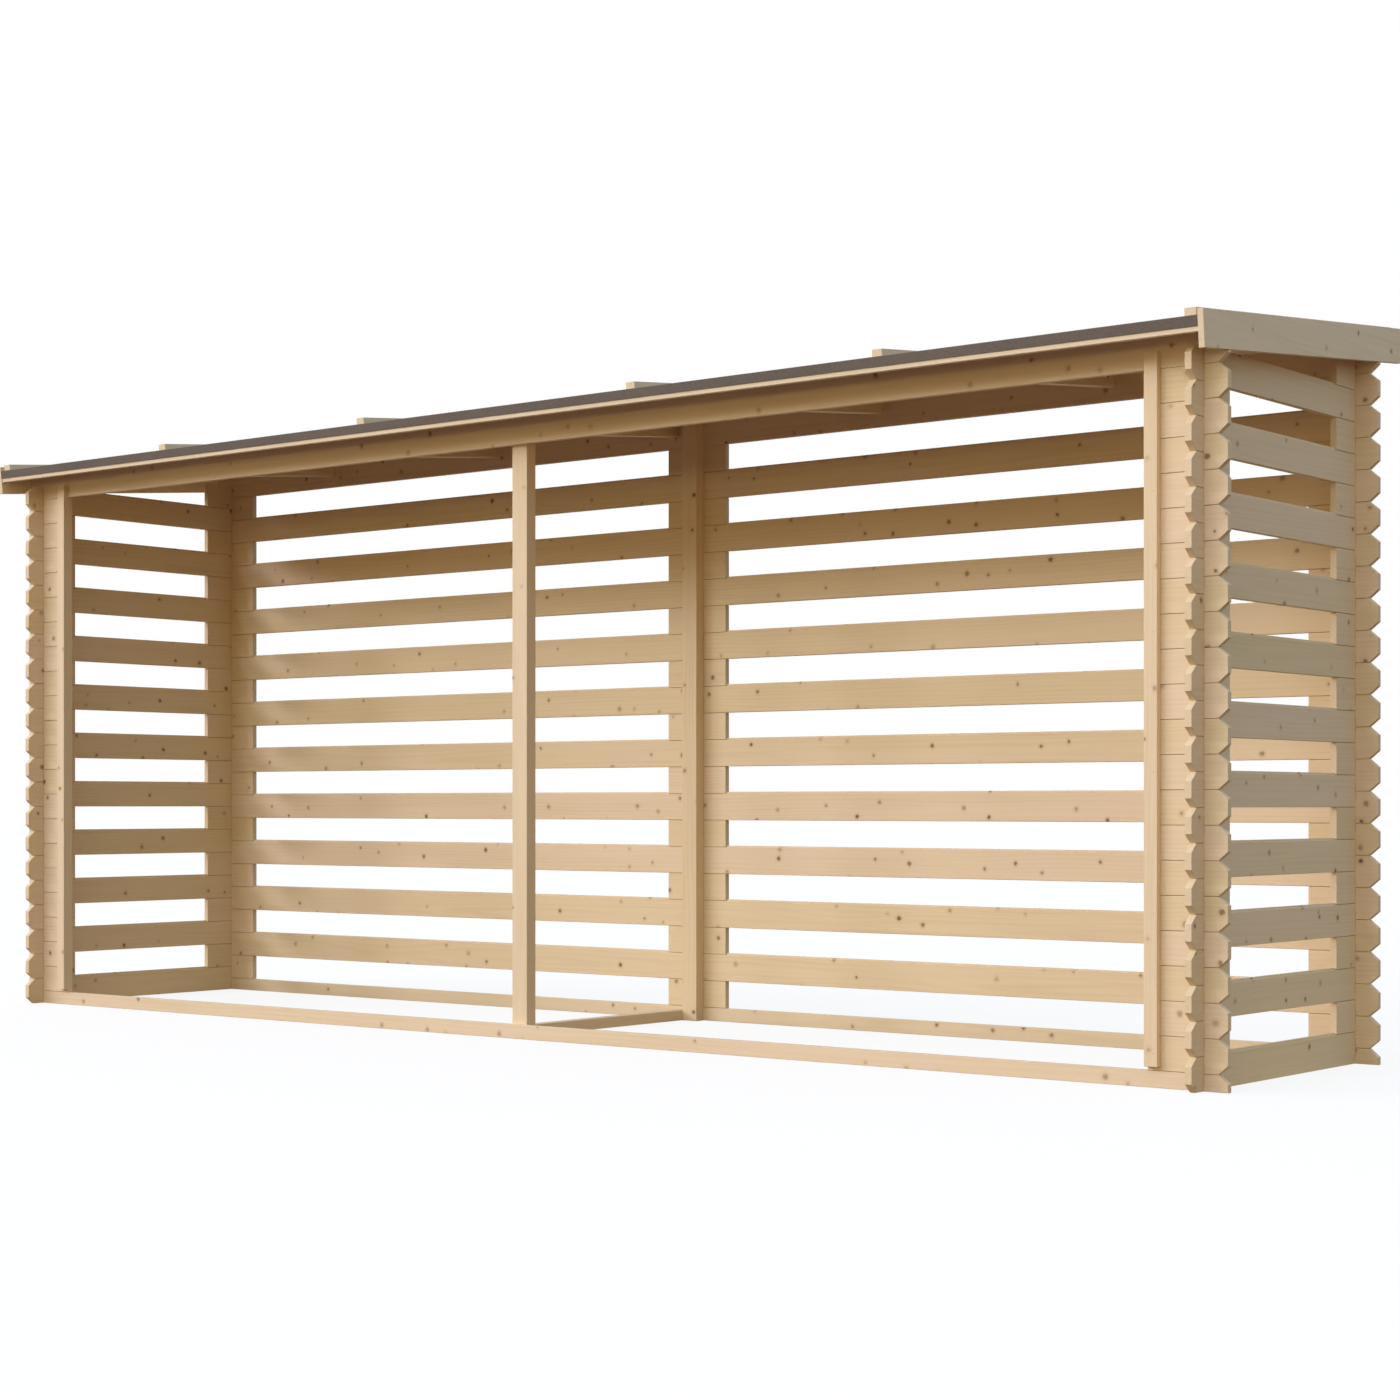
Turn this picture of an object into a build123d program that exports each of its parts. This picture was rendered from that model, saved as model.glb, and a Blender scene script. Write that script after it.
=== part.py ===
# Log store: a long open shelter for firewood, of interlocking boards under a low single-pitch roof.
# Millimetres. The origin is on the ground at the middle; X runs along the open front, Y to the back.
import math
import os

from build123d import *

# Wall boards and their courses
course = 88.0
board_thick = 19.0
front_course_count = 21
back_course_count = 22
side_rail_count = 11
rail_step = 2

# Walls, between the middles of their boards
wall_span_x = 4608.0
wall_span_y = 882.0

# Board ends
tip_reach = 65.0
tip_cut_long = 26.0
tip_cut_high = 22.5
block_reach = 120.0
middle_block_width = 241.0

# Jambs of the front opening
jamb_size = 38.0
jamb_leaf_low = 54.0
jamb_leaf_lap = 42.0

# Middle posts and the tie on the ground between them
post_width = 60.0
post_depth = 40.0
tie_width = 40.0
tie_height = 34.0

# Rafters
rafter_count = 5
rafter_spacing_share = 0.1783
rafter_width = 40.0
rafter_depth = 46.0
rafter_face_offset = -75.0

# Roof
eave_reach = 140.0
deck_thick = 19.0
felt_thick = 3.0
felt_fold = 27.0
lath_width = 32.0
lath_thick = 18.0
bargeboard_thick = 16.0
bargeboard_height = 95.0
bargeboard_drop = 59.0
bargeboard_proud = 2.5
batten_width = 32.0
batten_height = 20.0
batten_setback = 10.0
batten_edge_gap = 8.0
batten_middle_shares = (-0.632, -0.23, 0.237, 0.599)

# Clearances, and how far cutting shapes run past what they cut
notch_clearance = 0.5
bargeboard_clearance = 1.0
overrun = 60.0

# Places that follow from the sizes
half_course = course / 2
quarter_course = course / 4
half_board = board_thick / 2
half_notch = half_board + notch_clearance
wall_x = wall_span_x / 2
wall_y = wall_span_y / 2
inner_x = wall_x - half_board
inner_y = wall_y - half_board
outer_y = wall_y + half_board
tip_x = wall_x + half_board + tip_reach
tip_y = outer_y + tip_reach
block_x = inner_x - block_reach
block_y = inner_y - block_reach
front_top = half_course + front_course_count * course
back_top = half_course + back_course_count * course
lintel_low = front_top - course
roof_angle = math.degrees(math.atan2(back_top - front_top, wall_span_y))
roof_frame = Pos(0, 0, (front_top + back_top) / 2) * Rot(roof_angle, 0, 0)
roof_length = wall_span_y / math.cos(math.radians(roof_angle)) + 2 * eave_reach
roof_half = roof_length / 2
roof_shift = (bargeboard_height / 2 - bargeboard_drop) * math.tan(math.radians(roof_angle))
barge_outer = tip_x + bargeboard_proud
barge_inner = barge_outer - bargeboard_thick
felt_top = deck_thick + felt_thick
rafter_spacing = wall_span_x * rafter_spacing_share


def block(x_range, y_range, z_range):
    """A square-edged block between pairs of faces."""
    sizes = [high - low for low, high in (x_range, y_range, z_range)]
    middles = [(low + high) / 2 for low, high in (x_range, y_range, z_range)]
    return Pos(*middles) * Box(*sizes)


def roof_block(x_range, run, rise):
    """A block laid with the slope: run is along the fall, rise is square off the deck's underside."""
    shifted = [place + roof_shift for place in run]
    return roof_frame * block(x_range, shifted, rise)


def board(plane, reach, heights, crossings, tips, notches=(True, True), cuts=(True, True)):
    """A wall board: notched below and above where others cross it, its free ends cut to a blunt point."""
    (start, end), (low, high) = reach, heights

    def edge(level, inward, notched, cut):
        end_points = []
        for place, tip, along in ((start, tips[0], tip_cut_long), (end, tips[1], -tip_cut_long)):
            slope = [(place, level + inward * tip_cut_high), (place + along, level)]
            end_points.append(slope if tip and cut else [(place, level)])
        deep = level + inward * quarter_course
        middle = []
        for cross in crossings if notched else ():
            left, right = cross - half_notch, cross + half_notch
            middle += [(left, level), (left, deep), (right, deep), (right, level)]
        return end_points[0] + middle + end_points[1][::-1]

    points = edge(low, 1, notches[0], cuts[0]) + edge(high, -1, notches[1], cuts[1])[::-1]
    outline = make_face(Polyline(*points, close=True))
    return extrude(plane * outline, amount=half_board, both=True)


def long_board(y, heights, notches=(True, True), cuts=(True, True)):
    """A board the full length of the front or back wall."""
    return Pos(0, y, 0) * board(
        Plane.XZ, (-tip_x, tip_x), heights, (-wall_x, wall_x), (True, True), notches, cuts
    )


def corner_board(y, side, low):
    """A short board of the front or back wall at one corner."""
    reach = sorted((side * block_x, side * tip_x))
    tips = (side < 0, side > 0)
    return Pos(0, y, 0) * board(Plane.XZ, reach, (low, low + course), (side * wall_x,), tips)


def side_board(side, reach, low, crossings, tips):
    """A board of a side wall."""
    return Pos(side * wall_x, 0, 0) * board(Plane.YZ, reach, (low, low + course), crossings, tips)


def roof_space():
    """Everything above the underside of the deck."""
    reach = (-tip_x - overrun, tip_x + overrun)
    return roof_block(reach, (-roof_length, roof_length), (0, back_top))


def bargeboard_space(side):
    """The room a bargeboard takes at the end of a top board."""
    reach = sorted((side * (barge_inner - bargeboard_clearance), side * (barge_outer + overrun)))
    low = -bargeboard_drop - bargeboard_clearance
    return roof_block(reach, (-roof_length, roof_length), (low, back_top))


def sill(y):
    return long_board(y, (0, half_course), (False, True), (False, True))


def top_board(y, top):
    """A top board: its upper edge is planed to the roof, its ends are cut back behind the bargeboards."""
    whole = long_board(y, (top - course, top + overrun), (True, False), (True, False))
    return whole - roof_space() - bargeboard_space(-1) - bargeboard_space(1)


def front_stubs(side, first):
    """Every other short board beside the front opening."""
    count = front_course_count - 1
    lows = [half_course + row * course for row in range(first, count, rail_step)]
    return [corner_board(-wall_y, side, low) for low in lows]


def jamb(side):
    """A rebated jamb: one leg caps the short boards, the leaf laps over their faces."""
    edge = block_x - board_thick
    leg = block(
        sorted((side * edge, side * block_x)), (-outer_y, -inner_y), (half_course, lintel_low)
    )
    leaf = block(
        sorted((side * edge, side * (edge + jamb_size))),
        (-outer_y - jamb_size + board_thick, -outer_y),
        (jamb_leaf_low, lintel_low + jamb_leaf_lap),
    )
    return leg + leaf


def middle_post(side):
    """A post from the ground to the deck, against the inner face of the front or back wall."""
    half = post_width / 2
    depth = sorted((side * (inner_y - post_depth), side * inner_y))
    return block((-half, half), depth, (0, back_top + overrun)) - roof_space()


def centre_tie():
    face = -post_width / 2
    return block((face - tie_width, face), (-inner_y, inner_y), (0, tie_height))


def back_rails():
    """The long boards of the back wall, one open course apart."""
    lows = [half_course + row * course for row in range(1, back_course_count - 1, rail_step)]
    return [long_board(wall_y, (low, low + course)) for low in lows]


def back_corner_blocks(side):
    lows = [half_course + row * course for row in range(0, back_course_count, rail_step)]
    return [corner_board(wall_y, side, low) for low in lows]


def back_middle_blocks():
    half = middle_block_width / 2
    lows = [half_course + row * course for row in range(0, back_course_count, rail_step)]
    return [block((-half, half), (inner_y, outer_y), (low, low + course)) for low in lows]


def side_rails(side):
    """The long boards of a side wall, one open course apart."""
    lows = [rail_step * row * course for row in range(side_rail_count)]
    crossings = (-wall_y, wall_y)
    return [side_board(side, (-tip_y, tip_y), low, crossings, (True, True)) for low in lows]


def side_front_blocks(side):
    lows = [(rail_step * row + 1) * course for row in range(side_rail_count - 1)]
    return [side_board(side, (-tip_y, -block_y), low, (-wall_y,), (True, False)) for low in lows]


def side_back_blocks(side):
    """One block more than at the front, for the roof is higher here."""
    lows = [(rail_step * row + 1) * course for row in range(side_rail_count)]
    return [side_board(side, (block_y, tip_y), low, (wall_y,), (False, True)) for low in lows]


def rafters():
    """Bearers under the deck, cut upright between the front and back walls."""
    room = block((-wall_x, wall_x), (-inner_y, inner_y), (0, back_top + overrun))
    pieces = []
    for place in range(rafter_count):
        face = rafter_face_offset + (place - rafter_count // 2) * rafter_spacing
        whole = roof_block((face - rafter_width, face), (-roof_half, roof_half), (-rafter_depth, 0))
        pieces.append(whole & room)
    return pieces


def roof_deck():
    run = roof_half - felt_thick
    return roof_block((-barge_inner, barge_inner), (-run, run), (0, deck_thick))


def eave_lath(side):
    """A lath flat under the deck's edge."""
    run = roof_half - felt_thick
    return roof_block(
        (-barge_inner, barge_inner), sorted((side * (run - lath_width), side * run)), (-lath_thick, 0)
    )


def roof_felt():
    """Felt over the deck, turned down over its front and back edges."""
    reach = (-barge_inner, barge_inner)
    sheet = roof_block(reach, (-roof_half, roof_half), (deck_thick, felt_top))
    run = roof_half - felt_thick
    fold = (felt_top - felt_fold, felt_top)
    return sheet + roof_block(reach, (-roof_half, -run), fold) + roof_block(reach, (run, roof_half), fold)


def bargeboard(side):
    reach = sorted((side * barge_inner, side * barge_outer))
    rise = (-bargeboard_drop, bargeboard_height - bargeboard_drop)
    return roof_block(reach, (-roof_half, roof_half), rise)


def roof_battens():
    """Battens that hold the felt down, from front to back."""
    half = batten_width / 2
    run = roof_half - batten_setback
    rise = (felt_top, felt_top + batten_height)
    edge = barge_inner - batten_edge_gap - half
    places = [-edge, *(barge_inner * share for share in batten_middle_shares), edge]
    return [roof_block((x - half, x + half), (-run, run), rise) for x in places]


def assembly():
    """Every piece by its node name, from the ground up."""
    return {
        "front_sill": sill(-wall_y),
        "back_sill": sill(wall_y),
        "centre_tie": centre_tie(),
        "left_wall_rails": side_rails(-1),
        "left_front_blocks": side_front_blocks(-1),
        "left_back_blocks": side_back_blocks(-1),
        "right_wall_rails": side_rails(1),
        "right_front_blocks": side_front_blocks(1),
        "right_back_blocks": side_back_blocks(1),
        "front_left_stubs_odd": front_stubs(-1, 0),
        "front_left_stubs_even": front_stubs(-1, 1),
        "front_right_stubs_odd": front_stubs(1, 0),
        "front_right_stubs_even": front_stubs(1, 1),
        "back_wall_rails": back_rails(),
        "back_left_blocks": back_corner_blocks(-1),
        "back_middle_blocks": back_middle_blocks(),
        "back_right_blocks": back_corner_blocks(1),
        "front_lintel": top_board(-wall_y, front_top),
        "back_top_board": top_board(wall_y, back_top),
        "left_jamb": jamb(-1),
        "right_jamb": jamb(1),
        "front_post": middle_post(-1),
        "back_post": middle_post(1),
        "rafters": rafters(),
        "roof_deck": roof_deck(),
        "front_eave_lath": eave_lath(-1),
        "back_eave_lath": eave_lath(1),
        "roof_felt": roof_felt(),
        "left_bargeboard": bargeboard(-1),
        "right_bargeboard": bargeboard(1),
        "roof_battens": roof_battens(),
    }


os.makedirs("parts", exist_ok=True)
for name, piece in assembly().items():
    solids = piece if isinstance(piece, list) else [piece]
    export_step(Compound([solid for one in solids for solid in one.solids()]), f"parts/{name}.step")
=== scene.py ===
import math

import bmesh
import bpy
from mathutils import Matrix, Vector


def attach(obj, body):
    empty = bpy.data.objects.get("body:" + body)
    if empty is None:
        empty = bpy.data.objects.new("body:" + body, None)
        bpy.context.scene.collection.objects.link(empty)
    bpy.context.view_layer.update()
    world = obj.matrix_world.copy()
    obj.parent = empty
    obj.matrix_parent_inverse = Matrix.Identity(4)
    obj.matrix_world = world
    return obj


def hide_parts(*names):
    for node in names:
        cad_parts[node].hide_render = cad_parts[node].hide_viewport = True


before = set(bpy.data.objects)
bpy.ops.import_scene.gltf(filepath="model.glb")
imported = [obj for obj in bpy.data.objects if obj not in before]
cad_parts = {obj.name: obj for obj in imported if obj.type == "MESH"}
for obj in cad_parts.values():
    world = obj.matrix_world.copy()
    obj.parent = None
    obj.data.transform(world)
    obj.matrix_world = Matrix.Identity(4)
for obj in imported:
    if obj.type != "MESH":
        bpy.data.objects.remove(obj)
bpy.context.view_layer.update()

# Sills
# Half-height spruce boards that lie on the ground under the front and back walls, planed on all sides.
# The side walls' lowest boards drop into the notches in their upper edge.
course = 0.088
board_thick = 0.019
wall_x = 2.304
wall_y = 0.441
tip_reach = 0.065
tip_x = wall_x + board_thick / 2 + tip_reach
tip_cut = (0.026, 0.0225)
notch_clearance = 0.0005
notch_half = board_thick / 2 + notch_clearance
eased_edge = 0.0008
groove_half, groove_deep = 0.0010, 0.005
sharp_angle = 0.3
tongue_high = 0.005


def linear(hex_colour):
    """An sRGB hex colour as linear red, green, blue and alpha."""
    parts = [int(hex_colour[i : i + 2], 16) / 255 for i in (1, 3, 5)]
    return tuple(p / 12.92 if p <= 0.04045 else ((p + 0.055) / 1.055) ** 2.4 for p in parts) + (1.0,)


def add_node(tree, kind, inputs=None, **settings):
    """Add a node, set its options, then link or set its inputs by name or number."""
    node = tree.nodes.new(kind)
    for option, value in settings.items():
        setattr(node, option, value)
    for key, value in (inputs or {}).items():
        if isinstance(value, bpy.types.NodeSocket):
            tree.links.new(value, node.inputs[key])
        else:
            node.inputs[key].default_value = value
    return node


def planed_spruce(name, pink_wood, yellow_wood, late_wood, knot_wood):
    """Planed, untreated spruce: pale, a little pink or yellow from board to board, with soft growth rings
    that wander along the board, fine fibre streaks, small brown knots and duller end grain."""
    material = bpy.data.materials.new(name)
    material.use_nodes = True
    tree = material.node_tree
    shader = tree.nodes["Principled BSDF"]
    ring_spacing, knot_cell, knot_bend, fibre_width = 0.011, 0.10, 0.012, 0.004
    pith_span, pith_depth, ring_wander, knot_parting = 0.16, 0.04, 0.06, 0.006
    grain = add_node(tree, "ShaderNodeAttribute", attribute_name="grain").outputs["Vector"]
    tone = add_node(tree, "ShaderNodeAttribute", attribute_name="board_tone").outputs["Fac"]
    ends = add_node(tree, "ShaderNodeAttribute", attribute_name="end_grain").outputs["Fac"]
    broad_face = add_node(tree, "ShaderNodeAttribute", attribute_name="broad_face").outputs["Fac"]
    blend = dict(data_type="RGBA")

    # Every board is cut from another part of the tree
    apart = add_node(tree, "ShaderNodeVectorMath", {0: (47.0, 19.0, 31.0), "Scale": tone}, operation="SCALE")
    cut = add_node(tree, "ShaderNodeVectorMath", {0: grain, 1: apart.outputs[0]}).outputs[0]

    # Knots: branches square through the board, a small brown core on its broad faces in about half the
    # cells of a loose grid, some of them faint
    bent = add_node(
        tree, "ShaderNodeTexNoise", {"Vector": cut, "Scale": 1 / knot_bend, "Detail": 1.0}
    ).outputs[1]
    bent = add_node(
        tree, "ShaderNodeVectorMath", {0: bent, "Scale": knot_bend / 2}, operation="SCALE"
    ).outputs[0]
    bent = add_node(tree, "ShaderNodeVectorMath", {0: cut, 1: bent}).outputs[0]
    face = add_node(tree, "ShaderNodeSeparateXYZ", {0: bent}).outputs
    across = add_node(tree, "ShaderNodeCombineXYZ", {0: face[0], 1: face[2]})
    cells = add_node(
        tree,
        "ShaderNodeTexVoronoi",
        {"Vector": across.outputs[0], "Scale": 1 / knot_cell},
        voronoi_dimensions="2D",
    )
    pick = add_node(tree, "ShaderNodeSeparateColor", {0: cells.outputs["Color"]})
    size = add_node(
        tree, "ShaderNodeMapRange", {0: pick.outputs[0], 1: 0.5, 2: 1.0, 3: 0.026, 4: 0.078}
    ).outputs[0]
    inside = add_node(tree, "ShaderNodeMath", {0: size, 1: cells.outputs["Distance"]}, operation="SUBTRACT")
    core = add_node(tree, "ShaderNodeMapRange", {0: inside.outputs[0], 1: -0.020, 2: 0.030}).outputs[0]
    halo = add_node(tree, "ShaderNodeMapRange", {0: inside.outputs[0], 1: -0.10, 2: 0.0}).outputs[0]
    there = add_node(
        tree, "ShaderNodeMath", {0: pick.outputs[0], 1: 0.5}, operation="GREATER_THAN"
    ).outputs[0]
    there = add_node(tree, "ShaderNodeMath", {0: there, 1: broad_face}, operation="MULTIPLY").outputs[0]
    strong = add_node(tree, "ShaderNodeMapRange", {0: pick.outputs[1], 3: 0.3, 4: 0.95}).outputs[0]
    knot = add_node(tree, "ShaderNodeMath", {0: core, 1: there}, operation="MULTIPLY").outputs[0]
    halo = add_node(tree, "ShaderNodeMath", {0: halo, 1: there}, operation="MULTIPLY").outputs[0]

    # Growth rings about a pith outside the board, wandering along it and parting round the knots, drawn
    # wider than real ones so that they show
    wander = add_node(tree, "ShaderNodeVectorMath", {0: cut, 1: (0.9, 8.0, 8.0)}, operation="MULTIPLY")
    drift = add_node(
        tree, "ShaderNodeTexNoise", {"Vector": wander.outputs[0], "Scale": 1.0, "Detail": 2.0}
    ).outputs[0]
    place = add_node(tree, "ShaderNodeSeparateXYZ", {0: grain})
    high = add_node(
        tree, "ShaderNodeMath", {0: tone, 1: pith_span, 2: -pith_span / 2}, operation="MULTIPLY_ADD"
    ).outputs[0]
    up = add_node(tree, "ShaderNodeMath", {0: place.outputs[2], 1: high}).outputs[0]
    deep = add_node(tree, "ShaderNodeMath", {0: place.outputs[1], 1: pith_depth}).outputs[0]
    spoke = add_node(tree, "ShaderNodeCombineXYZ", {0: up, 1: deep})
    radius = add_node(tree, "ShaderNodeVectorMath", {0: spoke.outputs[0]}, operation="LENGTH").outputs[1]
    bowed = add_node(
        tree, "ShaderNodeMath", {0: drift, 1: ring_wander, 2: radius}, operation="MULTIPLY_ADD"
    ).outputs[0]
    parted = add_node(
        tree, "ShaderNodeMath", {0: halo, 1: knot_parting, 2: bowed}, operation="MULTIPLY_ADD"
    ).outputs[0]
    turns = add_node(
        tree, "ShaderNodeMath", {0: parted, 1: 2 * math.pi / ring_spacing}, operation="MULTIPLY"
    ).outputs[0]
    wave = add_node(tree, "ShaderNodeMath", {0: turns}, operation="SINE").outputs[0]
    ring = add_node(tree, "ShaderNodeMapRange", {0: wave, 1: -0.4, 2: 1.0}).outputs[0]

    # Fibre: fine streaks along the grain, drawn a little coarse so that they show, and broad soft clouds
    drawn = add_node(
        tree,
        "ShaderNodeVectorMath",
        {0: cut, 1: (0.01 / fibre_width, 0.5 / fibre_width, 0.5 / fibre_width)},
        operation="MULTIPLY",
    )
    fibre = add_node(
        tree, "ShaderNodeTexNoise", {"Vector": drawn.outputs[0], "Scale": 1.0, "Detail": 2.0}
    ).outputs[0]
    broad = add_node(tree, "ShaderNodeVectorMath", {0: cut, 1: (1.4, 16.0, 16.0)}, operation="MULTIPLY")
    cloud = add_node(
        tree, "ShaderNodeTexNoise", {"Vector": broad.outputs[0], "Scale": 1.0, "Detail": 2.0}
    ).outputs[0]

    # Colour: the board's own tone, then rings, streaks, end grain and knots over it
    own = add_node(tree, "ShaderNodeMath", {0: cloud, 1: 0.8, 2: tone}, operation="MULTIPLY_ADD").outputs[0]
    own = add_node(tree, "ShaderNodeMapRange", {0: own, 1: 0.2, 2: 1.6, 4: 0.8}).outputs[0]
    base = add_node(
        tree, "ShaderNodeMix", {0: own, 6: linear(pink_wood), 7: linear(yellow_wood)}, **blend
    ).outputs[2]
    faint = add_node(tree, "ShaderNodeMapRange", {0: cloud, 1: 0.35, 2: 0.75, 3: 0.02, 4: 0.17}).outputs[0]
    rings = add_node(tree, "ShaderNodeMath", {0: ring, 1: faint}, operation="MULTIPLY").outputs[0]
    streak = add_node(tree, "ShaderNodeMapRange", {0: fibre, 1: 0.4, 2: 0.8, 4: 0.13}).outputs[0]
    late = add_node(tree, "ShaderNodeMath", {0: rings, 1: streak}).outputs[0]
    late = add_node(tree, "ShaderNodeMath", {0: halo, 1: 0.3, 2: late}, operation="MULTIPLY_ADD").outputs[0]
    late = add_node(
        tree, "ShaderNodeMath", {0: ends, 1: 0.06, 2: late}, operation="MULTIPLY_ADD", use_clamp=True
    )
    wood = add_node(
        tree, "ShaderNodeMix", {0: late.outputs[0], 6: base, 7: linear(late_wood)}, **blend
    ).outputs[2]
    dark = add_node(tree, "ShaderNodeMath", {0: knot, 1: strong}, operation="MULTIPLY").outputs[0]
    spotted = add_node(tree, "ShaderNodeMix", {0: dark, 6: wood, 7: linear(knot_wood)}, **blend).outputs[2]
    tree.links.new(spotted, shader.inputs["Base Color"])

    # Planed surface: nearly matt, with the fibre just standing up
    rough = add_node(tree, "ShaderNodeMapRange", {0: fibre, 3: 0.55, 4: 0.72}).outputs[0]
    tree.links.new(rough, shader.inputs["Roughness"])
    shader.inputs["IOR"].default_value = 1.45
    bump = add_node(tree, "ShaderNodeBump", {"Strength": 0.2, "Distance": 0.0005, "Height": fibre})
    tree.links.new(bump.outputs[0], shader.inputs["Normal"])
    return material


def board_outline(reach, heights, crossings, tips, notches=(True, True), cuts=(True, True), tongues=()):
    """The side view of a wall board: notched where others cross it, its free ends cut to a blunt point.
    Each tongue is an open span of the upper edge, and its two ends become points of the outline."""

    def edge(level, inward, notched, cut, marks=()):
        ends = []
        for place, tip, way in ((reach[0], tips[0], 1), (reach[1], tips[1], -1)):
            sloped = [(place, level + inward * tip_cut[1]), (place + way * tip_cut[0], level)]
            ends.append(sloped if tip and cut else [(place, level)])
        middle = [(along, level) for span in marks for along in span]
        for cross in crossings if notched else ():
            left, right, deep = cross - notch_half, cross + notch_half, level + inward * course / 4
            middle += [(left, level), (left, deep), (right, deep), (right, level)]
        return ends[0] + sorted(middle, key=lambda point: point[0]) + ends[1][::-1]

    lower = edge(heights[0], 1, notches[0], cuts[0])
    upper = edge(heights[1], -1, notches[1], cuts[1], tongues)
    return lower + upper[::-1]


def board_solid(outline, tongues=()):
    """An outline given along and up, made into a board of wall thickness along X, its long edges relieved at
    both faces so that boards on top of each other meet in a fine groove. A tongue stands up from the middle
    of its upper edge wherever nothing lies on it."""
    low, high = min(up for _, up in outline), max(up for _, up in outline)
    relieved = [(along, up + groove_half * ((up == low) - (up == high))) for along, up in outline]
    half = board_thick / 2
    inner = half - groove_deep
    layers = ((relieved, -half), (outline, -inner), (outline, inner), (relieved, half))
    solid = bmesh.new()
    loops = [[solid.verts.new((along, y, up)) for along, up in line] for line, y in layers]
    solid.faces.new(loops[0])
    solid.faces.new(loops[-1][::-1])
    open_top = []
    for near, far in zip(loops, loops[1:]):
        for i in range(len(outline)):
            face = solid.faces.new((near[i], near[i - 1], far[i - 1], far[i]))
            if near is loops[1] and outline[i][1] == high and (outline[i][0], outline[i - 1][0]) in tongues:
                open_top.append(face)
    for face in bmesh.ops.extrude_discrete_faces(solid, faces=open_top)["faces"]:
        for v in face.verts:
            v.co.z += tongue_high
    return solid


def dressed(solid, name, along=0, edge=eased_edge, move=None):
    """Ease a board's outer edges, and keep its own along, through and across as the grain to draw by."""
    bmesh.ops.recalc_face_normals(solid, faces=solid.faces)
    sharp = [e for e in solid.edges if e.is_manifold and e.calc_face_angle_signed() > sharp_angle]
    bmesh.ops.bevel(
        solid, geom=sharp, offset=edge, offset_type="OFFSET", segments=2, profile=0.6, affect="EDGES"
    )
    corners = [Vector(pick(v.co[i] for v in solid.verts) for i in range(3)) for pick in (min, max)]
    middle, extent = (corners[0] + corners[1]) / 2, corners[1] - corners[0]
    thin, wide = sorted((i for i in (2, 1, 0) if i != along), key=lambda i: round(extent[i], 4))
    grain = solid.verts.layers.float_vector.new("grain")
    ends = solid.faces.layers.float.new("end_grain")
    broad = solid.faces.layers.float.new("broad_face")
    for v in solid.verts:
        own = v.co - middle
        v[grain] = Vector((own[along], own[thin], own[wide]))
    for face in solid.faces:
        face.normal_update()
        face[ends] = 1.0 if abs(face.normal[along]) > 0.4 else 0.0
        face[broad] = 1.0 if abs(face.normal[thin]) > 0.7 else 0.0
    if move:
        solid.transform(move)
    mesh = bpy.data.meshes.new(name)
    solid.to_mesh(mesh)
    solid.free()
    return mesh


def board_stack_tree():
    """Boards in an even row: a count of copies a step apart, each with a tone of its own."""
    tree = bpy.data.node_groups.new("board_stack", "GeometryNodeTree")
    sockets = tree.interface
    sockets.new_socket("Board", in_out="INPUT", socket_type="NodeSocketGeometry")
    sockets.new_socket("Count", in_out="INPUT", socket_type="NodeSocketInt")
    sockets.new_socket("Step", in_out="INPUT", socket_type="NodeSocketVector")
    sockets.new_socket("Seed", in_out="INPUT", socket_type="NodeSocketInt")
    sockets.new_socket("Timber", in_out="INPUT", socket_type="NodeSocketMaterial")
    sockets.new_socket("Boards", in_out="OUTPUT", socket_type="NodeSocketGeometry")
    given = add_node(tree, "NodeGroupInput").outputs
    row = add_node(tree, "GeometryNodeMeshLine", {"Count": given["Count"], "Offset": given["Step"]})
    copies = add_node(
        tree, "GeometryNodeInstanceOnPoints", {"Points": row.outputs[0], "Instance": given["Board"]}
    )
    chance = add_node(tree, "FunctionNodeRandomValue", {"Seed": given["Seed"]}, data_type="FLOAT")
    toned = add_node(
        tree,
        "GeometryNodeStoreNamedAttribute",
        {"Geometry": copies.outputs[0], "Name": "board_tone", "Value": chance.outputs[1]},
        data_type="FLOAT",
        domain="INSTANCE",
    )
    solid = add_node(tree, "GeometryNodeRealizeInstances", {0: toned.outputs[0]})
    coated = add_node(
        tree, "GeometryNodeSetMaterial", {"Geometry": solid.outputs[0], "Material": given["Timber"]}
    )
    add_node(tree, "NodeGroupOutput", {0: coated.outputs[0]})
    return tree


def grown(name, mesh, tree, **values):
    """Run a node tree on a mesh and keep its result as a plain piece."""
    piece = bpy.data.objects.new(name, mesh)
    bpy.context.scene.collection.objects.link(piece)
    maker = piece.modifiers.new("maker", "NODES")
    maker.node_group = tree
    for item in tree.interface.items_tree:
        if item.in_out == "INPUT" and item.name in values:
            maker[item.identifier] = values[item.name]
    bpy.context.view_layer.update()
    made = bpy.data.meshes.new_from_object(piece.evaluated_get(bpy.context.evaluated_depsgraph_get()))
    piece.modifiers.remove(maker)
    piece.data = made
    made.name = name
    return piece


board_stack = board_stack_tree()
wall_spruce = planed_spruce("planed_spruce_wall_boards", "#E6CEB3", "#DCC79C", "#BE9B70", "#6B4728")
still = (0.0, 0.0, 0.0)

for name, y, seed in (("front_sill", -wall_y, 2), ("back_sill", wall_y, 5)):
    outline = board_outline(
        (-tip_x, tip_x), (0, course / 2), (-wall_x, wall_x), (True, True), (False, True), (False, True)
    )
    mesh = dressed(board_solid(outline), name, move=Matrix.Translation((0, y, 0)))
    piece = grown(name + "_board", mesh, board_stack, Count=1, Step=still, Seed=seed, Timber=wall_spruce)
    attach(piece, "root")
    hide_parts(name)

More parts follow.
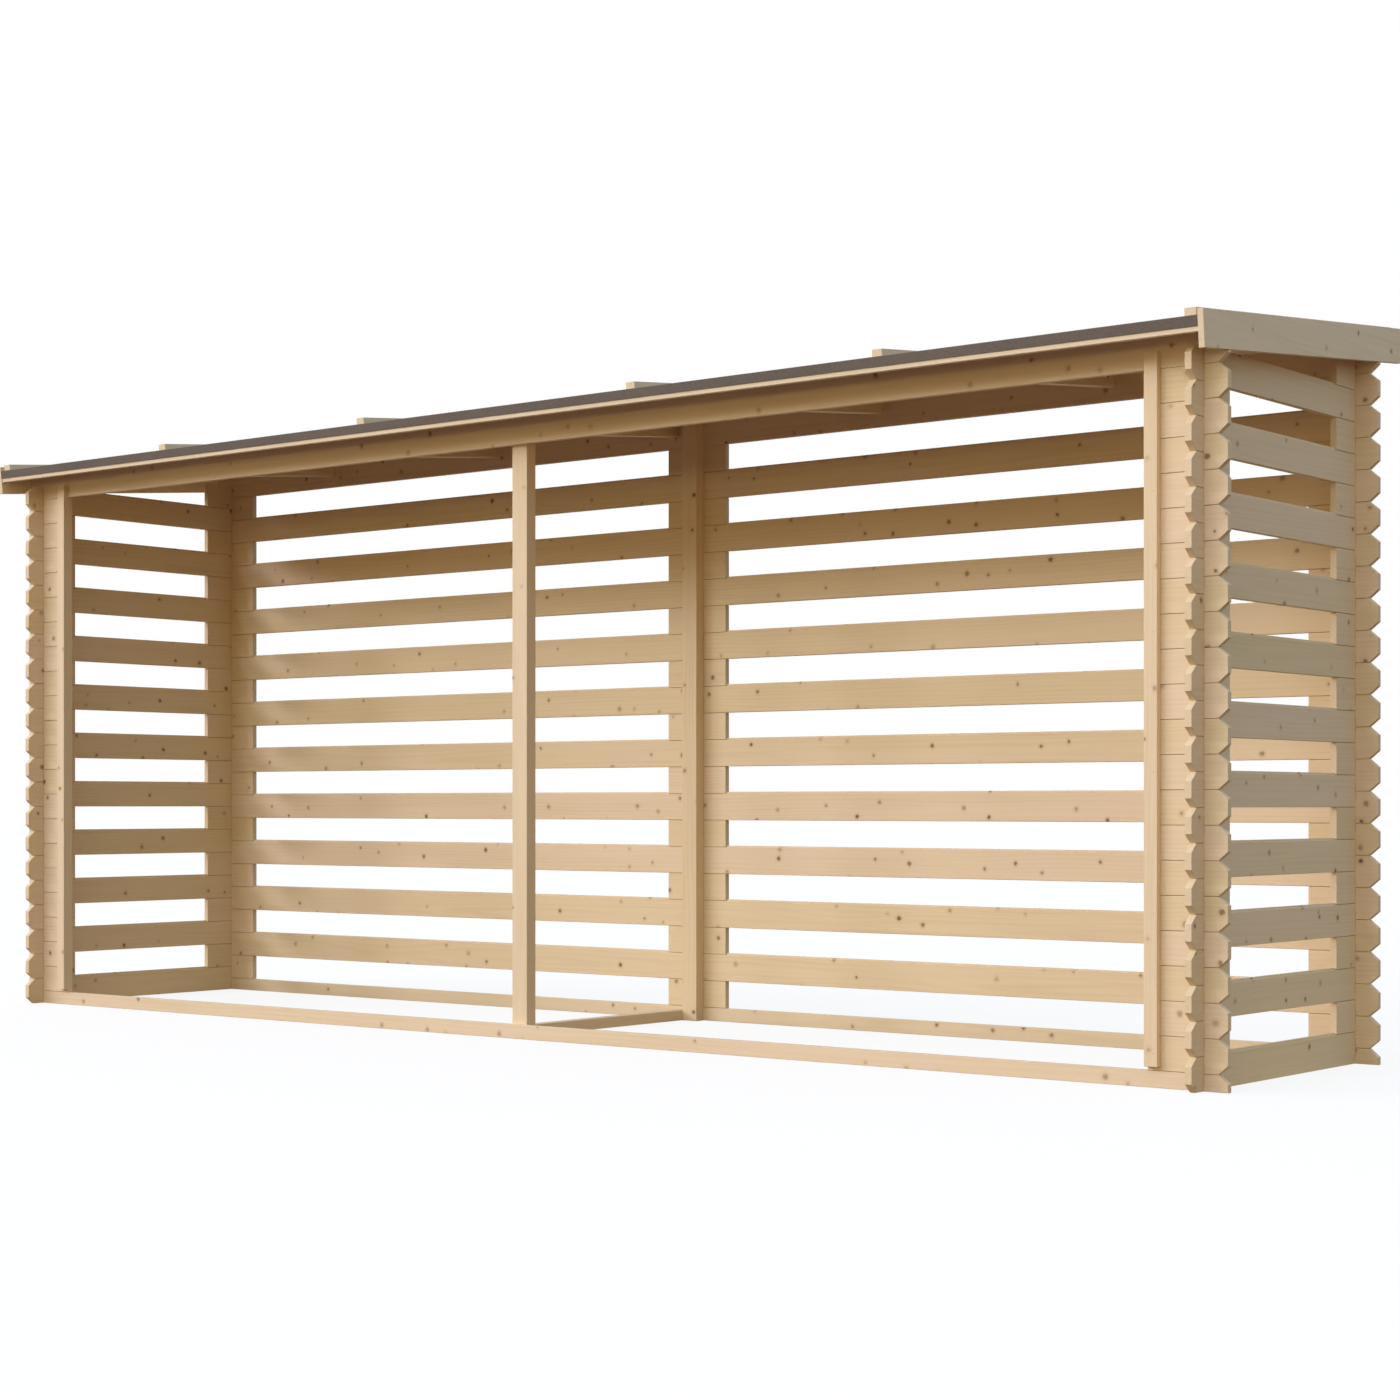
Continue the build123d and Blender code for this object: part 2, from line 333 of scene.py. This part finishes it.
# Side walls
# Long spruce boards from front to back with an open course between them, for air to reach the logs.
# Short blocks fill the open courses at both corners, and all of them lock into the notches of the next wall.
# The tongue along a long board's upper edge shows between the blocks, where nothing lies on it.
tip_y = wall_y + board_thick / 2 + tip_reach
block_reach = 0.120
block_y = wall_y - board_thick / 2 - block_reach
rail_count = 11
tongue_gap = 0.001
side_tongue = (tongue_gap - block_y, block_y - tongue_gap)
quarter_turn = Matrix.Rotation(math.pi / 2, 4, "Z")
two_courses = (0.0, 0.0, 2 * course)

for word, side, seed in (("left", -1, 11), ("right", 1, 21)):
    sets = (
        ("wall_rails", (-tip_y, tip_y), 0.0, (-wall_y, wall_y), (True, True), rail_count),
        ("front_blocks", (-tip_y, -block_y), course, (-wall_y,), (True, False), rail_count - 1),
        ("back_blocks", (block_y, tip_y), course, (wall_y,), (False, True), rail_count),
    )
    for number, (kind, reach, low, crossings, tips, count) in enumerate(sets):
        name = f"{word}_{kind}"
        tongues = (side_tongue,) if kind == "wall_rails" else ()
        outline = board_outline(reach, (low, low + course), crossings, tips, tongues=tongues)
        move = Matrix.Translation((side * wall_x, 0, 0)) @ quarter_turn
        mesh = dressed(board_solid(outline, tongues), name, move=move)
        piece = grown(
            name + "_boards",
            mesh,
            board_stack,
            Count=count,
            Step=two_courses,
            Seed=seed + number,
            Timber=wall_spruce,
        )
        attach(piece, "root")
        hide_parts(name)

# Front corners
# Short spruce boards, one on every course, that return round the corners and end at the jambs.
# They are the same stock as the walls and lock into the side boards above and below.
block_x = wall_x - board_thick / 2 - block_reach
stub_count = 20
one_course = (0.0, 0.0, course)

for word, side, seed in (("left", -1, 31), ("right", 1, 41)):
    reach, tips = sorted((side * block_x, side * tip_x)), (side < 0, side > 0)
    outline = board_outline(reach, (course / 2, course * 3 / 2), (side * wall_x,), tips)
    mesh = dressed(board_solid(outline), f"front_{word}_stubs", move=Matrix.Translation((0, -wall_y, 0)))
    piece = grown(
        f"front_{word}_stub_boards",
        mesh,
        board_stack,
        Count=stub_count,
        Step=one_course,
        Seed=seed,
        Timber=wall_spruce,
    )
    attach(piece, "root")
    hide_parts(f"front_{word}_stubs_odd", f"front_{word}_stubs_even")

# Back wall
# Long spruce boards the whole width of the store, an open course apart as at the sides.
# Short blocks carry them at both corners and at the middle, where the back post stands, and their tongues
# show in the two bays between.
middle_half = 0.1205
back_rail_count, back_block_count = 10, 11
back_seed = 51
bay = (middle_half + tongue_gap, block_x - tongue_gap)
back_tongues = ((-bay[1], -bay[0]), bay)
back_sets = (
    ("back_wall_rails", (-tip_x, tip_x), course * 3 / 2, (-wall_x, wall_x), (True, True), back_rail_count),
    ("back_left_blocks", (-tip_x, -block_x), course / 2, (-wall_x,), (True, False), back_block_count),
    ("back_middle_blocks", (-middle_half, middle_half), course / 2, (), (False, False), back_block_count),
    ("back_right_blocks", (block_x, tip_x), course / 2, (wall_x,), (False, True), back_block_count),
)
for number, (name, reach, low, crossings, tips, count) in enumerate(back_sets):
    tongues = back_tongues if name == "back_wall_rails" else ()
    outline = board_outline(reach, (low, low + course), crossings, tips, tongues=tongues)
    mesh = dressed(board_solid(outline, tongues), name, move=Matrix.Translation((0, wall_y, 0)))
    piece = grown(
        name + "_boards",
        mesh,
        board_stack,
        Count=count,
        Step=two_courses,
        Seed=back_seed + number,
        Timber=wall_spruce,
    )
    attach(piece, "root")
    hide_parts(name)


# Lintel and top board of the back
# The highest boards of the front and back walls, planed along their upper edge to the fall of the roof.
# Their ends are cut back to let the bargeboards pass.
def copied(node):
    """A CAD node's own shape, with its loose triangles joined into whole faces."""
    solid = bmesh.new()
    solid.from_mesh(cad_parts[node].data)
    bmesh.ops.remove_doubles(solid, verts=solid.verts, dist=1e-5)
    bmesh.ops.dissolve_limit(solid, angle_limit=math.radians(1), verts=solid.verts, edges=solid.edges)
    return solid


for name, seed in (("front_lintel", 61), ("back_top_board", 62)):
    mesh = dressed(copied(name), name)
    piece = grown(name + "_board", mesh, board_stack, Count=1, Step=still, Seed=seed, Timber=wall_spruce)
    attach(piece, "root")
    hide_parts(name)

# Jambs, posts, ground tie and rafters
# Square spruce sections that stiffen the walls: rebated jambs over the ends of the front boards, mid posts
# against the front and back walls, a tie on the ground between them, and rafters under the roof deck.
frame_spruce = planed_spruce("planed_spruce_sections", "#E7CFB2", "#DEC8A1", "#C2A077", "#6E4A2B")
section_edge, rafter_edge = 0.002, 0.001
sections = (
    ("left_jamb", 2, 71),
    ("right_jamb", 2, 72),
    ("front_post", 2, 73),
    ("back_post", 2, 74),
    ("centre_tie", 1, 75),
)
for name, along, seed in sections:
    mesh = dressed(copied(name), name, along, edge=section_edge)
    piece = grown(name + "_section", mesh, board_stack, Count=1, Step=still, Seed=seed, Timber=frame_spruce)
    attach(piece, "root")
    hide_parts(name)

front_courses, back_courses = 21, 22
roof_mid_z = course * (1 + front_courses + back_courses) / 2
roof_angle = math.atan2(course, 2 * wall_y)
rafter_count, rafter_share, rafter_seed = 5, 0.1783, 81
rafter_spacing = 2 * wall_x * rafter_share
rafters = copied("rafters")
first_x = min(v.co.x for v in rafters.verts)
others = [v for v in rafters.verts if v.co.x > first_x + rafter_spacing / 2]
bmesh.ops.delete(rafters, geom=others, context="VERTS")
mesh = dressed(rafters, "rafters", 1, edge=rafter_edge)
piece = grown(
    "rafter_sections",
    mesh,
    board_stack,
    Count=rafter_count,
    Step=(rafter_spacing, 0.0, 0.0),
    Seed=rafter_seed,
    Timber=frame_spruce,
)
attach(piece, "root")
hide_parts("rafters")

# Roof deck
# Spruce boards side by side from end to end of the store, nailed down on the walls and rafters.
# They follow the fall of the roof, and show from below and at the eaves.
deck_boards, deck_seed = 13, 91
deck_thick = 0.019
eave_reach = 0.140
felt_thick = 0.003
barge_height, barge_drop, barge_thick, barge_proud = 0.095, 0.059, 0.016, 0.0025
roof_length = 2 * wall_y / math.cos(roof_angle) + 2 * eave_reach
roof_shift = (barge_height / 2 - barge_drop) * math.tan(roof_angle)
barge_outer = tip_x + barge_proud
barge_inner = barge_outer - barge_thick
deck_run = roof_length - 2 * felt_thick
deck_step = deck_run / deck_boards
roof_tilt = Matrix.Rotation(roof_angle, 4, "X")
roof_place = Matrix.Translation((0, 0, roof_mid_z)) @ roof_tilt @ Matrix.Translation((0, roof_shift, 0))


def roof_solid(x_range, run, rise):
    """A block laid on the roof: run is along the fall, rise is square off the deck's underside."""
    solid = bmesh.new()
    sizes = [high - low for low, high in (x_range, run, rise)]
    middle = [(low + high) / 2 for low, high in (x_range, run, rise)]
    bmesh.ops.create_cube(solid, size=1, matrix=Matrix.Translation(middle) @ Matrix.Diagonal((*sizes, 1)))
    return solid


roof_spruce = planed_spruce("planed_spruce_roof_boards", "#E8D4BC", "#DECDA8", "#C0A07A", "#6B4829")
first_run = (-deck_run / 2, -deck_run / 2 + deck_step)
first_board = roof_solid((-barge_inner, barge_inner), first_run, (0, deck_thick))
mesh = dressed(first_board, "roof_deck", move=roof_place)
down_the_fall = roof_place.to_3x3() @ Vector((0, deck_step, 0))
piece = grown(
    "roof_deck_boards",
    mesh,
    board_stack,
    Count=deck_boards,
    Step=tuple(down_the_fall),
    Seed=deck_seed,
    Timber=roof_spruce,
)
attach(piece, "root")
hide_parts("roof_deck")

# Eave laths
# Thin planed spruce laths, nailed flat under the front and back edges of the deck from end to end.
# They stiffen the edge of the deck and give the turned-down felt something to be nailed to.
lath_edge = 0.001
for name, seed in (("front_eave_lath", 101), ("back_eave_lath", 102)):
    mesh = dressed(copied(name), name, edge=lath_edge)
    piece = grown(name + "_strip", mesh, board_stack, Count=1, Step=still, Seed=seed, Timber=roof_spruce)
    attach(piece, "root")
    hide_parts(name)

# Roof felt
# Mineral-surfaced bitumen felt in two lengths that lap along the middle of the roof, turned down over the
# front and back edges of the deck.
felt_top = deck_thick + felt_thick
felt_fold, felt_bend = 0.027, 0.0022
felt_foot = felt_top - felt_fold
lap_start, lap_width, lap_settle = 0.02, 0.08, 0.04
half_run = roof_length / 2


def mineral_felt():
    """Bitumen felt with crushed slate pressed in: dull dark grey-brown with fine pale and dark grit."""
    material = bpy.data.materials.new("bitumen_felt_mineral_surface")
    material.use_nodes = True
    tree = material.node_tree
    shader = tree.nodes["Principled BSDF"]
    # Grit drawn about twice as coarse as real slate, so that it shows
    grit_size, patch_size = 0.002, 0.25
    place = add_node(tree, "ShaderNodeTexCoord").outputs["Object"]
    grit = add_node(tree, "ShaderNodeTexVoronoi", {"Vector": place, "Scale": 1 / grit_size})
    pick = add_node(tree, "ShaderNodeSeparateColor", {0: grit.outputs["Color"]}).outputs[0]
    patch = add_node(
        tree, "ShaderNodeTexNoise", {"Vector": place, "Scale": 1 / patch_size, "Detail": 3.0}
    ).outputs[0]
    speck = add_node(tree, "ShaderNodeMath", {0: pick, 1: 0.5, 2: -0.05}, operation="MULTIPLY_ADD").outputs[0]
    mixed = add_node(
        tree, "ShaderNodeMath", {0: patch, 1: 0.6, 2: speck}, operation="MULTIPLY_ADD", use_clamp=True
    )
    colour = add_node(
        tree,
        "ShaderNodeMix",
        {0: mixed.outputs[0], 6: linear("#5E554F"), 7: linear("#766B63")},
        data_type="RGBA",
    )
    tree.links.new(colour.outputs[2], shader.inputs["Base Color"])
    shader.inputs["Roughness"].default_value = 0.92
    shader.inputs["IOR"].default_value = 1.4
    bump = add_node(
        tree, "ShaderNodeBump", {"Strength": 0.6, "Distance": 0.0012, "Height": grit.outputs["Distance"]}
    )
    tree.links.new(bump.outputs[0], shader.inputs["Normal"])
    return material


felt_profile = (
    (-half_run, felt_foot),
    (-half_run, felt_top),
    (lap_start, felt_top),
    (lap_start, felt_top + felt_thick),
    (lap_start + lap_width, felt_top + felt_thick),
    (lap_start + lap_width + lap_settle, felt_top),
    (half_run, felt_top),
    (half_run, felt_foot),
    (half_run - felt_thick, felt_foot),
    (half_run - felt_thick, deck_thick),
    (felt_thick - half_run, deck_thick),
    (felt_thick - half_run, felt_foot),
)
sheet = bmesh.new()
ends = [[sheet.verts.new((x, run, rise)) for run, rise in felt_profile] for x in (-barge_inner, barge_inner)]
for i in range(len(felt_profile)):
    j = (i + 1) % len(felt_profile)
    sheet.faces.new((ends[0][i], ends[0][j], ends[1][j], ends[1][i]))
sheet.faces.new(ends[0][::-1])
sheet.faces.new(ends[1])
bmesh.ops.recalc_face_normals(sheet, faces=sheet.faces)
turned = [
    e
    for e in sheet.edges
    if all(abs(abs(v.co.y) - half_run) < 1e-6 and abs(v.co.z - felt_top) < 1e-6 for v in e.verts)
]
bmesh.ops.bevel(sheet, geom=turned, offset=felt_bend, segments=3, profile=0.5, affect="EDGES")
sheet.transform(roof_place)
mesh = bpy.data.meshes.new("roof_felt_sheet")
sheet.to_mesh(mesh)
sheet.free()
mesh.materials.append(mineral_felt())
piece = bpy.data.objects.new("roof_felt_sheet", mesh)
bpy.context.scene.collection.objects.link(piece)
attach(piece, "root")
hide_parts("roof_felt")

# Bargeboards
# Planed spruce boards on edge that close the two ends of the roof, from the front eave to the back one.
# They are pinned to the ends of the deck boards and stand a little above the felt.
for name, seed in (("left_bargeboard", 111), ("right_bargeboard", 112)):
    mesh = dressed(copied(name), name, 1)
    piece = grown(name + "_plank", mesh, board_stack, Count=1, Step=still, Seed=seed, Timber=roof_spruce)
    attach(piece, "root")
    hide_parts(name)

# Roof battens
# Spruce battens laid from front to back over the felt to hold it down, nailed through it to the deck.
# One lies along each bargeboard and four between them, near the rafters.
batten_half, batten_height, batten_setback = 0.016, 0.020, 0.010
batten_run = half_run - batten_setback
batten_edge_gap, batten_seed = 0.008, 121
batten_shares = (-0.632, -0.23, 0.237, 0.599)
batten_edge = barge_inner - batten_edge_gap - batten_half
batten_rise = felt_top + batten_height
batten_places = [-batten_edge, *(barge_inner * share for share in batten_shares), batten_edge]
for number, x in enumerate(batten_places):
    name = f"roof_batten_{number}"
    solid = roof_solid((x - batten_half, x + batten_half), (-batten_run, batten_run), (felt_top, batten_rise))
    mesh = dressed(solid, name, 1, move=roof_place)
    seed = batten_seed + number
    piece = grown(name, mesh, board_stack, Count=1, Step=still, Seed=seed, Timber=roof_spruce)
    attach(piece, "root")
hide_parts("roof_battens")


# Nails, pins and screws
# Zinc-plated steel: nails down the middle of every batten, thin pins through the bargeboards and the jambs,
# and screws from behind through the boards of the back wall into the back post.
def zinc_plate():
    """Bright zinc on steel: pale grey metal, dulled in small patches."""
    material = bpy.data.materials.new("zinc_plated_steel")
    material.use_nodes = True
    tree = material.node_tree
    shader = tree.nodes["Principled BSDF"]
    patch_size = 0.002
    place = add_node(tree, "ShaderNodeTexCoord").outputs["Object"]
    patch = add_node(
        tree, "ShaderNodeTexNoise", {"Vector": place, "Scale": 1 / patch_size, "Detail": 2.0}
    ).outputs[0]
    colour = add_node(
        tree, "ShaderNodeMix", {0: patch, 6: linear("#8F8D88"), 7: linear("#C4C3BE")}, data_type="RGBA"
    )
    tree.links.new(colour.outputs[2], shader.inputs["Base Color"])
    rough = add_node(tree, "ShaderNodeMapRange", {0: patch, 3: 0.55, 4: 0.35}).outputs[0]
    tree.links.new(rough, shader.inputs["Roughness"])
    shader.inputs["Metallic"].default_value = 1.0
    return material


def fixing_tree():
    """Round heads on given points, each square to its board: a sloped rim, a flat lip and a driven middle."""
    tree = bpy.data.node_groups.new("fixings", "GeometryNodeTree")
    sockets = tree.interface
    sockets.new_socket("Places", in_out="INPUT", socket_type="NodeSocketGeometry")
    sockets.new_socket("Head", in_out="INPUT", socket_type="NodeSocketFloat")
    sockets.new_socket("Proud", in_out="INPUT", socket_type="NodeSocketFloat")
    sockets.new_socket("Metal", in_out="INPUT", socket_type="NodeSocketMaterial")
    sockets.new_socket("Fixings", in_out="OUTPUT", socket_type="NodeSocketGeometry")
    rim_corners, brim_share, sunk_share, well_share = 10, 0.82, 0.8, 0.5
    given = add_node(tree, "NodeGroupInput").outputs
    foot = add_node(tree, "ShaderNodeMath", {0: given["Head"], 1: 0.5}, operation="MULTIPLY").outputs[0]
    brim = add_node(tree, "ShaderNodeMath", {0: foot, 1: brim_share}, operation="MULTIPLY").outputs[0]
    sunk = add_node(
        tree, "ShaderNodeMath", {0: given["Proud"], 1: -sunk_share}, operation="MULTIPLY"
    ).outputs[0]
    head = add_node(
        tree,
        "GeometryNodeMeshCone",
        {"Vertices": rim_corners, "Radius Top": brim, "Radius Bottom": foot, "Depth": given["Proud"]},
        fill_type="NGON",
    ).outputs
    lip = add_node(
        tree, "GeometryNodeExtrudeMesh", {"Mesh": head["Mesh"], "Selection": head["Top"], "Offset Scale": 0.0}
    ).outputs
    drawn_in = add_node(
        tree,
        "GeometryNodeScaleElements",
        {"Geometry": lip["Mesh"], "Selection": lip["Top"], "Scale": well_share},
    )
    well = add_node(
        tree,
        "GeometryNodeExtrudeMesh",
        {"Mesh": drawn_in.outputs[0], "Selection": lip["Top"], "Offset Scale": sunk},
    ).outputs
    out = add_node(
        tree, "GeometryNodeInputNamedAttribute", {"Name": "facing"}, data_type="FLOAT_VECTOR"
    ).outputs[0]
    turn = add_node(tree, "FunctionNodeAlignRotationToVector", {"Vector": out}, axis="Z").outputs[0]
    copies = add_node(
        tree,
        "GeometryNodeInstanceOnPoints",
        {"Points": given["Places"], "Instance": well["Mesh"], "Rotation": turn},
    )
    solid = add_node(tree, "GeometryNodeRealizeInstances", {0: copies.outputs[0]})
    coated = add_node(
        tree, "GeometryNodeSetMaterial", {"Geometry": solid.outputs[0], "Material": given["Metal"]}
    )
    add_node(tree, "NodeGroupOutput", {0: coated.outputs[0]})
    return tree


def spread(low, high, count):
    """Places at even steps from low to high."""
    return [low + (high - low) * i / (count - 1) for i in range(count)]


slope = roof_place.to_3x3()
fixing_end, fixing_count = 0.05, 6
fixing_runs = spread(fixing_end - batten_run, batten_run - fixing_end, fixing_count)
jamb_leaf, pin_inset = 0.019, 0.009
back_face = wall_y + board_thick / 2
jamb_face = back_face + jamb_leaf
pin_x = block_x + pin_inset
pin_levels = (1, 5, 9, 13, 17, 20)
screw_spread, screw_stagger = 0.015, 0.008
head_sink = 0.0003
rail_heights = [2 * course * (row + 1) for row in range(back_rail_count)]
back_heights = [course / 4, *rail_heights, back_courses * course]
nails = [
    (roof_place @ Vector((x, run, batten_rise)), slope @ Vector((0, 0, 1)))
    for x in batten_places
    for run in fixing_runs
]
pins = [
    (roof_place @ Vector((side * barge_outer, run, deck_thick / 2)), Vector((side, 0, 0)))
    for side in (-1, 1)
    for run in fixing_runs
]
pins += [
    (Vector((side * pin_x, -jamb_face, course * level)), Vector((0, -1, 0)))
    for side in (-1, 1)
    for level in pin_levels
]
screws = [
    (Vector((side * screw_spread, back_face, height + side * screw_stagger)), Vector((0, 1, 0)))
    for side in (-1, 1)
    for height in back_heights
]
fixings = fixing_tree()
zinc = zinc_plate()
for name, heads, width, proud in (
    ("batten_nails", nails, 0.009, 0.0012),
    ("trim_pins", pins, 0.004, 0.0005),
    ("back_post_screws", screws, 0.008, 0.0010),
):
    mesh = bpy.data.meshes.new(name)
    mesh.from_pydata([place - facing * head_sink for place, facing in heads], [], [])
    out = mesh.attributes.new("facing", "FLOAT_VECTOR", "POINT")
    out.data.foreach_set("vector", [part for _, facing in heads for part in facing])
    piece = grown(name, mesh, fixings, Head=width, Proud=proud, Metal=zinc)
    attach(piece, "root")

# Camera, floor and light
# A level camera to the right of the front, its frame shifted so that uprights stay upright, on a plain pale
# floor. The light is soft: broad lamps from the front left round to the front, a sky that changes from its
# foot to its top, and the warm glow that the ground throws back.
camera_place, camera_turn = (5.329, -6.234, 0.712), math.radians(38.57)
film_width, lens_length, frame_shift = 36, 66.47, 0.0745
camera = bpy.data.objects.new("camera", bpy.data.cameras.new("camera"))
bpy.context.scene.collection.objects.link(camera)
camera.location = camera_place
camera.rotation_euler = (math.pi / 2, 0, camera_turn)
camera.data.sensor_width = film_width
camera.data.lens = lens_length
camera.data.shift_y = frame_shift
bpy.context.scene.camera = camera

floor_reach, floor_drop, floor_shade = 60, 0.0005, 0.15
ground = bmesh.new()
bmesh.ops.create_grid(ground, x_segments=1, y_segments=1, size=floor_reach)
mesh = bpy.data.meshes.new("floor")
ground.to_mesh(mesh)
ground.free()
floor = bpy.data.objects.new("floor", mesh)
floor.location.z = -floor_drop
bpy.context.scene.collection.objects.link(floor)


def seen_plainly(tree):
    """One for what the camera, metal and glass see, which is white, and zero for what lights the object."""
    path = add_node(tree, "ShaderNodeLightPath").outputs
    seen = add_node(
        tree, "ShaderNodeMath", {0: path["Is Camera Ray"], 1: path["Is Glossy Ray"]}, operation="MAXIMUM"
    ).outputs[0]
    return add_node(
        tree, "ShaderNodeMath", {0: seen, 1: path["Is Transmission Ray"]}, operation="MAXIMUM"
    ).outputs[0]


# White floor that keeps part of the object's shadow. To the object it glows in strips from front to back.
material = bpy.data.materials.new("pale_studio_floor")
material.use_nodes = True
tree = material.node_tree
tree.nodes.clear()
seen = seen_plainly(tree)
strip_places = (-4.5, -2.0, -0.8, 0.0, 0.9)
strip_colours = ("#7E6762", "#000000", "#5C3418", "#957A46", "#000000")
nearest, farthest = strip_places[0], strip_places[-1]
spot = add_node(tree, "ShaderNodeTexCoord").outputs["Object"]
depth = add_node(tree, "ShaderNodeSeparateXYZ", {0: spot}).outputs[1]
depth = add_node(tree, "ShaderNodeMapRange", {0: depth, 1: nearest, 2: farthest}).outputs[0]
strips = add_node(tree, "ShaderNodeValToRGB", {0: depth})
for strip_place in strip_places[1:-1]:
    strips.color_ramp.elements.new((strip_place - nearest) / (farthest - nearest))
for strip, colour in zip(strips.color_ramp.elements, strip_colours):
    strip.color = linear(colour)
glow = add_node(tree, "ShaderNodeEmission", {"Color": strips.outputs[0], "Strength": 1.0})
white = add_node(tree, "ShaderNodeEmission", {"Color": (1, 1, 1, 1), "Strength": 1.0})
pale = add_node(tree, "ShaderNodeBsdfDiffuse", {"Color": (1, 1, 1, 1)})
shown = add_node(tree, "ShaderNodeMixShader", {0: floor_shade, 1: white.outputs[0], 2: pale.outputs[0]})
both = add_node(tree, "ShaderNodeMixShader", {0: seen, 1: glow.outputs[0], 2: shown.outputs[0]})
add_node(tree, "ShaderNodeOutputMaterial", {0: both.outputs[0]})
mesh.materials.append(material)

# White all round to the camera. To the object it is a sky in bands, warmer and lighter on the lamps' side.
world = bpy.data.worlds.new("studio")
world.use_nodes = True
bpy.context.scene.world = world
tree = world.node_tree
tree.nodes.clear()
seen = seen_plainly(tree)
ray = add_node(tree, "ShaderNodeTexCoord").outputs["Generated"]
rise = add_node(tree, "ShaderNodeSeparateXYZ", {0: ray}).outputs[2]
sky_rises = (0.02, 0.07, 0.2, 0.4, 0.8)
sky_behind = ("#87613E", "#897251", "#647873", "#6E869B", "#6C7B8A")
sky_before = ("#FDE7A3", "#927D52", "#867633", "#C1C7B8", "#A3A2BB")
sky_strength = 2.8
skies = []
for colours in (sky_behind, sky_before):
    bands = add_node(tree, "ShaderNodeValToRGB", {0: rise})
    for height in sky_rises[1:-1]:
        bands.color_ramp.elements.new(height)
    for band, height, colour in zip(bands.color_ramp.elements, sky_rises, colours):
        band.position = height
        band.color = linear(colour)
    skies.append(bands.outputs[0])
lamp_side, side_blend = math.radians(40), 0.5
lamp_way = (-math.sin(lamp_side), -math.cos(lamp_side), 0.0)
towards = add_node(tree, "ShaderNodeVectorMath", {0: ray, 1: lamp_way}, operation="DOT_PRODUCT").outputs[1]
before = add_node(tree, "ShaderNodeMapRange", {0: towards, 1: -side_blend, 2: side_blend}).outputs[0]
sky = add_node(tree, "ShaderNodeMix", {0: before, 6: skies[0], 7: skies[1]}, data_type="RGBA").outputs[2]
fill = add_node(tree, "ShaderNodeBackground", {"Color": sky, "Strength": sky_strength})
white = add_node(tree, "ShaderNodeBackground", {"Color": (1, 1, 1, 1), "Strength": 1.0})
both = add_node(tree, "ShaderNodeMixShader", {0: seen, 1: fill.outputs[0], 2: white.outputs[0]})
add_node(tree, "ShaderNodeOutputWorld", {0: both.outputs[0]})

# Lamps by bearing from the front to the left, height in degrees, and strength
lamp_spread, lamp_colour = math.radians(12), linear("#F2F3FF")[:3]
keys = ((58, 20, 0.62), (40, 20, 0.575), (20, 25, 0.27), (0, 18, 0.34))
for number, (bearing, height, energy) in enumerate(keys):
    key = bpy.data.lights.new(f"key_{number}", "SUN")
    key.energy = energy
    key.angle = lamp_spread
    key.color = lamp_colour
    lamp = bpy.data.objects.new(key.name, key)
    bpy.context.scene.collection.objects.link(lamp)
    lamp.rotation_euler = (math.radians(90 - height), 0, math.radians(-bearing))

bpy.context.scene.view_settings.view_transform = "Standard"
